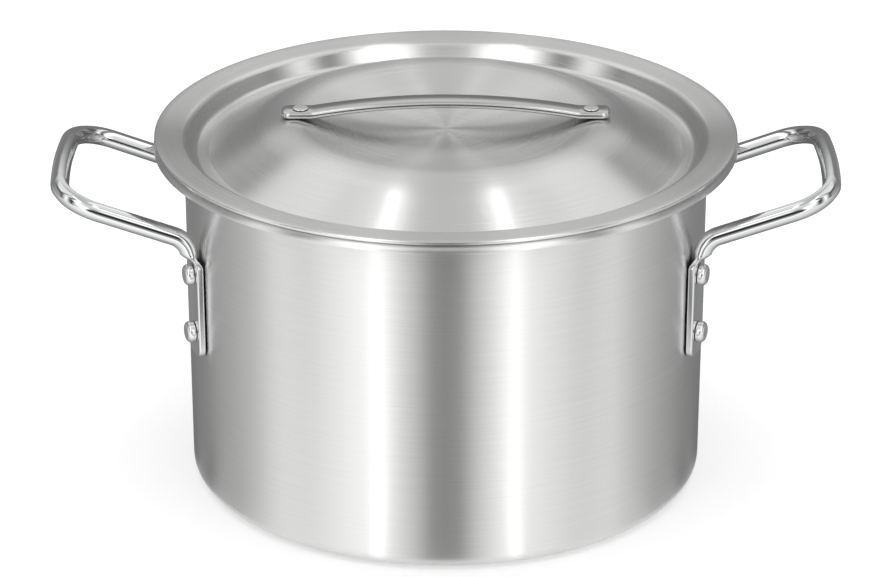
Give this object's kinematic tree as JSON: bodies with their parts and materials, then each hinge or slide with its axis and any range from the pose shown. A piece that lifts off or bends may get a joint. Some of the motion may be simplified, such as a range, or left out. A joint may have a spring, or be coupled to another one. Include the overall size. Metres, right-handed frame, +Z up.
{
  "type": "cooking pot",
  "caption": "Round aluminium cooking pot with straight brushed walls, riveted loop handles of round bar at its sides, and a loose dished lid with a low strap handle.",
  "frame": {"origin": "middle of the base, on the surface that the pot stands on", "axes": "+Z up along the pot's axis, +X out through the right-hand handle, -Y towards the viewer"},
  "size_m": [0.4206, 0.312, 0.2108],
  "materials": {
    "pot_aluminium": "brushed round the wall",
    "lid_aluminium": "spun, with a fine turned grain",
    "rivet_aluminium": "smooth satin",
    "handle_steel": "polished",
    "strap_steel": "satin"
  },
  "bodies": {
    "pot": {"pot_shell": "pot_aluminium", "left_handle": "handle_steel", "right_handle": "handle_steel", "left_handle_rivet_front_upper": "rivet_aluminium", "left_handle_rivet_front_lower": "rivet_aluminium", "left_handle_rivet_rear_upper": "rivet_aluminium", "left_handle_rivet_rear_lower": "rivet_aluminium", "right_handle_rivet_front_upper": "rivet_aluminium", "right_handle_rivet_front_lower": "rivet_aluminium", "right_handle_rivet_rear_upper": "rivet_aluminium", "right_handle_rivet_rear_lower": "rivet_aluminium"},
    "lid": {"lid_shell": "lid_aluminium", "lid_strap": "strap_steel", "lid_rivet_left": "rivet_aluminium", "lid_rivet_right": "rivet_aluminium"}
  },
  "joints": [
    {"name": "lid_lift", "type": "slide", "parent": "pot", "child": "lid", "axis": [0, 0, 1], "range_m": [0, 0.2]}
  ]
}
